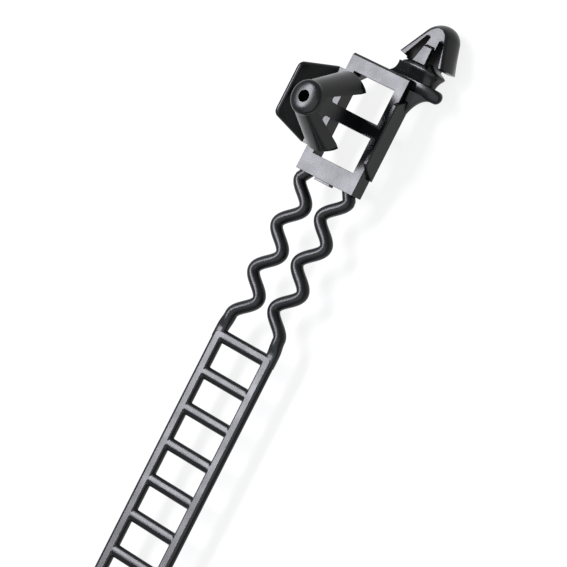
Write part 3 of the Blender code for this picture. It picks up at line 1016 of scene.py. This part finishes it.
    def build_collar(self) -> Solid:
        """Make the flared collar, whose top rises in a hollow cone to the shank.

        Returns:
            The finished piece.
        """
        profile = [(-FUSE, *self.collar_size(0.0))]
        for t in self.flare_levels:
            profile.append((self.flare_rise * t, *self.collar_size(self.flare_rise * t)))
        for t in self.collar_levels:
            width = self.flap_radius + (self.collar_top - self.flap_radius) * t
            depth = self.flap_depth / 2 + (self.collar_top - self.flap_depth / 2) * t
            height = self.flap_height + self.collar_rise * t**self.collar_hollow
            profile.append((height, width, depth))
        # Each round cuts the profile's corners at a quarter of its sides, which rounds it
        for _ in range(self.collar_rounds):
            cut = [profile[0]]
            for first, second in zip(profile, profile[1:]):
                for share in (0.25, 0.75):
                    cut.append(tuple(a + (b - a) * share for a, b in zip(first, second)))
            profile = cut + [profile[-1]]
        rings = []
        for height, *size in profile:
            rings.append(self.ring(self.head.top + height, *size, self.collar_squareness))
        return finish(loft("collar", rings), Edges.ROUND)

    def build_disc(self) -> Solid:
        """Make the rounded support disc beside the head's corner, thinner towards the strap.

        Returns:
            The finished piece.
        """
        half = self.disc_thickness / 2
        middle = self.head.top - half + self.disc_rise
        rings = []
        for t in sweep(1.0, self.profile_steps):
            bulge = half * math.sin(math.pi * t)
            y = middle - half * math.cos(math.pi * t)
            depth = (self.disc_depth - half + bulge) / 2 * (1 - self.disc_taper * (1 - t))
            width = self.disc_radius - half + bulge
            rings.append(self.ring(y, width, depth, self.disc_squareness))
        return finish(loft("support_disc", rings), Edges.ROUND)

    def build_shoulder(self) -> Solid:
        """Make the web that runs from the top bar up to the collar in a hollow curve.

        Returns:
            The finished piece.
        """
        reach = self.shoulder_width - self.flap_radius + self.shoulder_inset
        start = self.offset - self.shoulder_width
        line = [(start, -FUSE / 2)]
        for angle in sweep(math.pi / 2, self.hollow_steps):
            height = self.flare_rise * (1 - math.cos(angle))
            line.append((start + reach * math.sin(angle), height))
        rings = []
        for x, height in line:
            depth = self.collar_size(height)[1] * self.shoulder_share
            back, front = -self.axis_depth - depth, -self.axis_depth + depth
            rings.append(box_section(self.head.top + height, x, self.offset, back, front))
        return finish(loft("shoulder", rings), Edges.BOXY)

    def build_fillet(self) -> Solid:
        """Make the hollow fillet between the disc and the right side of the head.

        Returns:
            The finished piece.
        """
        side = self.head.right + self.rib.thickness / 2
        under = self.head.top + self.disc_rise - self.disc_thickness
        line = [(side + self.fillet, under + FUSE)]
        for t in sweep(1.0, self.hollow_steps):
            angle = math.pi / 2 * (1 - t)
            across = side + self.fillet * (1 - math.cos(angle))
            line.append((across, under - self.fillet_length * (1 - math.sin(angle))))
        back = -self.head.depth + 2 * SINK
        rings = []
        for x, y in line:
            fall = self.fillet_slope * (under + FUSE - y) / (self.fillet_length + FUSE)
            front = -self.fillet_front - fall
            section = box_section(y, self.head.right - FUSE, x, back, front)
            section[2].z -= self.fillet_fall * (x - self.head.right)
            rings.append(section)
        return finish(loft("mount_fillet", rings), Edges.BOXY)

    def build(self) -> list[Solid]:
        """Return the finished pieces of the mount."""
        upper = [self.build_arrow(), self.build_shank(), self.build_collar()]
        return upper + [self.build_disc(), self.build_shoulder(), self.build_fillet()]


@dataclass
class LadderStrap:
    """The flat ladder strap with full round edges, ten windows and a plain tapered tail."""

    top: float = -38.3
    plane: float = -1.4
    width: float = 13.2
    thickness: float = 1.4
    corner: float = 1.1
    rail_width: float = 2.2
    rung_width: float = 2.15
    rung_pitch: float = 6.4
    window_count: int = 10
    window_corner: float = 0.3
    outer_round: float = 0.75
    inner_round: float = 0.5
    rung_round: float = 1.0
    tail_length: float = 14.0
    tail_width: float = 9.0
    tail_corner: float = 2.0
    edge_steps: int = 14
    corner_steps: int = 10
    window_steps: int = 5

    def window_ring(self, centre_y: float, height: float, grow_x: float, grow_y: float) -> Ring:
        """Draw one window at one height.

        Args:
            centre_y: where the window's middle is.
            height: the height above the strap's middle plane.
            grow_x: how far its rounded sides have opened.
            grow_y: how far its rounded ends have opened.

        Returns:
            The window's points.
        """
        half_x = self.width / 2 - self.rail_width + grow_x
        half_y = (self.rung_pitch - self.rung_width) / 2 + grow_y
        corners = rectangle(-half_x, half_x, -half_y, half_y)
        outline = rounded_outline(corners, [self.window_corner] * 4, self.window_steps)
        return [Vector((x, centre_y + y, height + self.plane)) for x, y in outline]

    def build(self) -> Solid:
        """Make the strap.

        Returns:
            The finished piece.
        """
        half = self.width / 2
        tail = self.tail_width / 2
        bottom = self.top - self.rung_width - self.window_count * self.rung_pitch
        end = bottom - self.tail_length
        corners = [(-tail, end), (tail, end), (half, bottom)]
        corners += [(half, self.top), (-half, self.top), (-half, bottom)]
        radii = [self.tail_corner] * 3 + [self.corner] * 2 + [self.tail_corner]
        outline = rounded_outline(corners, radii, self.corner_steps)
        levels = round_levels(self.thickness / 2, self.edge_steps)
        rings = []
        for z, share in levels:
            inner = inset_outline(outline, self.outer_round * share)
            rings.append([Vector((x, y, z + self.plane)) for x, y in inner])
        ladder = loft("ladder_strap", rings)
        outside = self.thickness / 2 + FUSE
        levels = [(-outside, 1.0)] + levels + [(outside, 1.0)]
        builder = bmesh.new()
        for i in range(self.window_count):
            centre_y = self.top - self.rung_width / 2 - self.rung_pitch * (i + 0.5)
            rings = []
            for z, share in levels:
                grow = (self.inner_round * share, self.rung_round * share)
                rings.append(self.window_ring(centre_y, z, *grow))
            bridge(builder, rings)
        combine(ladder, "DIFFERENCE", add_solid("ladder_windows", builder))
        return finish(ladder, Edges.ROUND_EDGED)


@dataclass
class SpringRail:
    """One wavy round rail between the head and the ladder."""

    head: HeadFrame
    ladder: LadderStrap
    side: int
    diameter: float = 2.1
    offset: float = 3.5
    amplitude: float = 1.75
    period: float = 8.15
    count: int = 3
    start: float = 1.1
    tip_share: float = 0.96
    merge_start: float = 2.4
    merge_length: float = 2.6
    end_squareness: float = 1.4
    sides: int = 28
    wave_steps: int = 48
    lead_steps: int = 12

    def path(self) -> Outline:
        """Draw the centre line, from inside the head to inside the ladder.

        Returns:
            The line's (x, y) points.
        """
        crest = -self.head.top - self.start
        last = crest - self.count * self.period
        waves = sweep(last - crest, self.count * self.wave_steps)
        points = []
        for y in [-self.head.top + FUSE] + [crest + way for way in waves]:
            swing = self.amplitude * math.cos(math.tau * (y - crest) / self.period)
            points.append((self.side * (self.offset + swing), y))
        peak = self.offset + self.amplitude
        rail = self.ladder.width / 2 - self.diameter / 2
        for t in sweep(1.0, self.lead_steps)[1:]:
            x = peak + (rail - peak) * smooth_step(t)
            points.append((self.side * x, last + (self.ladder.top - last) * t))
        points.append((self.side * rail, self.ladder.top - self.ladder.rung_width + FUSE))
        return points

    def build(self) -> Solid:
        """Make the rail.

        Returns:
            The finished piece.
        """
        path = [Vector(point) for point in self.path()]
        rings = []
        for point, before, after in zip(path, path[:1] + path, path[1:] + path[-1:]):
            along = (after - before).normalized()
            across = Vector((-along.y, along.x, 0.0))
            wide = deep = self.diameter / 2
            sunk = (self.ladder.top + self.merge_start - point.y) / self.merge_length
            merge = smooth_step(min(max(sunk, 0.0), 1.0))
            wide += (self.ladder.rail_width / 2 * self.tip_share - wide) * merge
            deep += (self.ladder.thickness / 2 * self.tip_share - deep) * merge
            centre = Vector((point.x, point.y, self.ladder.plane))
            ring = []
            for k in range(self.sides):
                angle = math.tau * (k + 0.5) / self.sides
                aside, rise = oval_point(angle, 2 + self.end_squareness * merge)
                ring.append(centre + across * wide * aside + Vector((0, 0, 1)) * deep * rise)
            rings.append(ring)
        name = "left_spring_rail" if self.side < 0 else "right_spring_rail"
        return finish(loft(name, rings), Edges.ROUND)


@dataclass
class CableTie:
    """The whole tie, one moulding, shown as its sub-assemblies."""

    satin: MouldedNylon = MouldedNylon("moulded_satin_black_nylon", Polish.SATIN)
    matt: MouldedNylon = MouldedNylon("moulded_matt_black_nylon", Polish.MATT)

    def seat(self, piece: Solid, nylon: bpy.types.Material) -> None:
        """Move a piece to its place, dress it and let it stand for the solid.

        Args:
            piece: a finished piece in head coordinates.
            nylon: the material it gets.
        """
        piece.data.transform(Matrix.Translation(HEAD_PLACE) @ Matrix.Scale(MM, 4))
        piece.data.materials.clear()
        piece.data.materials.append(nylon)
        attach(piece, BODY)
        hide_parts(NODE)

    def build(self) -> list[Solid]:
        """Build, seat and dress all pieces.

        Returns:
            The pieces.
        """
        head, ladder = HeadFrame(), LadderStrap()
        rib = GuideRib(head)
        pieces = [head.build(), GuidePlate(head).build(), rib.build(), LockingPost(head).build()]
        pieces += ArrowMount(head, rib).build()
        rails = [SpringRail(head, ladder, side).build() for side in (-1, 1)]
        pieces += [*rails, ladder.build()]
        satin, matt = self.satin.build(), self.matt.build()
        for piece in pieces:
            self.seat(piece, matt if piece in rails else satin)
        return pieces


@dataclass(frozen=True)
class Softbox:
    """A rectangular softbox that faces the head, in metres and watts."""

    name: str
    way: Triple
    sides: tuple[float, float]
    power: float
    colour: str
    distance: float = 0.6

    def hang(self) -> None:
        """Hang the softbox in its direction from the head."""
        out = Vector(self.way).normalized()
        data = bpy.data.lights.new(self.name, "AREA")
        data.shape = "RECTANGLE"
        data.size, data.size_y = self.sides
        data.energy = self.power
        data.color = linear(self.colour)[:3]
        light = bpy.data.objects.new(self.name, data)
        across = Vector((0.0, 1.0, 0.0)).cross(out).normalized()
        pose = Matrix([across, out.cross(across), out]).transposed().to_4x4()
        pose.translation = HEAD_PLACE + out * self.distance
        light.matrix_world = pose
        bpy.context.scene.collection.objects.link(light)


@dataclass
class Studio:
    """The paper floor, the surroundings, two softboxes and the camera, in metres."""

    # The camera's place is in head millimetres, its axes point right, up and back
    camera_place: Triple = (277.792, -4.085, 402.749)
    camera_axes: tuple[Triple, ...] = (
        (0.7238, 0.4519, -0.5215),
        (-0.3972, 0.8908, 0.2207),
        (0.5643, 0.0474, 0.8242),
    )
    lens_mm: float = 196.8
    floor_side: float = 5.0
    floor_gap_mm: float = 0.05
    dim_colour: str = "#444449"
    background_colour: str = "#BCBCC0"
    # Flat faces mirror the narrow one, and the wide one gives round edges their soft light
    narrow: Softbox = Softbox("softbox", (-0.535, 0.1, 0.84), (0.13, 0.46), 6.2, "#F6F5FF")
    wide: Softbox = Softbox("overhead_softbox", (0.25, -0.35, 0.9), (0.7, 0.7), 2.1, "#F2FAFF")

    def set_camera(self) -> None:
        """Stand the camera where the photograph was taken from."""
        data = bpy.data.cameras.new("photo_camera")
        data.lens = self.lens_mm
        camera = bpy.data.objects.new("photo_camera", data)
        axes = [Vector(axis).normalized() for axis in self.camera_axes]
        pose = Matrix(axes).transposed().to_4x4()
        pose.translation = Vector(self.camera_place) * MM + HEAD_PLACE
        camera.matrix_world = pose
        bpy.context.scene.collection.objects.link(camera)
        bpy.context.scene.camera = camera

    def set_world(self) -> None:
        """Surround the object with dim grey, which is pale wherever it shows as background."""
        world = bpy.data.worlds.new("studio_surroundings")
        world.use_nodes = True
        tree = world.node_tree
        dim = tree.nodes["Background"]
        dim.inputs["Color"].default_value = linear(self.dim_colour)
        pale = add_node(tree, "ShaderNodeBackground", {"Color": linear(self.background_colour)})
        links = {0: sees_background(tree), 1: dim.outputs[0], 2: pale.outputs[0]}
        mix = add_node(tree, "ShaderNodeMixShader", links=links)
        tree.links.new(mix.outputs[0], tree.nodes["World Output"].inputs["Surface"])
        bpy.context.scene.world = world

    def set_floor(self) -> None:
        """Lay the sweep of white paper under the tie."""
        half = self.floor_side / 2
        below = -self.floor_gap_mm * MM
        builder = bmesh.new()
        corners = rectangle(-half, half, -half, half)
        builder.faces.new([builder.verts.new((x, y, below)) for x, y in corners])
        floor = add_solid("paper_floor", builder)
        floor.data.materials.append(WhitePaper().build())

    def build(self) -> None:
        """Lay the floor and set the camera, lights and surroundings."""
        self.set_floor()
        self.set_camera()
        self.narrow.hang()
        self.wide.hang()
        self.set_world()
        bpy.context.scene.view_settings.view_transform = "Standard"


def main() -> None:
    """Build the tie and the studio, and log each piece."""
    logging.basicConfig(level=logging.INFO, format="%(message)s")
    for piece in CableTie().build():
        log.info("piece %s, %d faces", piece.name, len(piece.data.polygons))
    Studio().build()


if __name__ == "__main__":
    main()
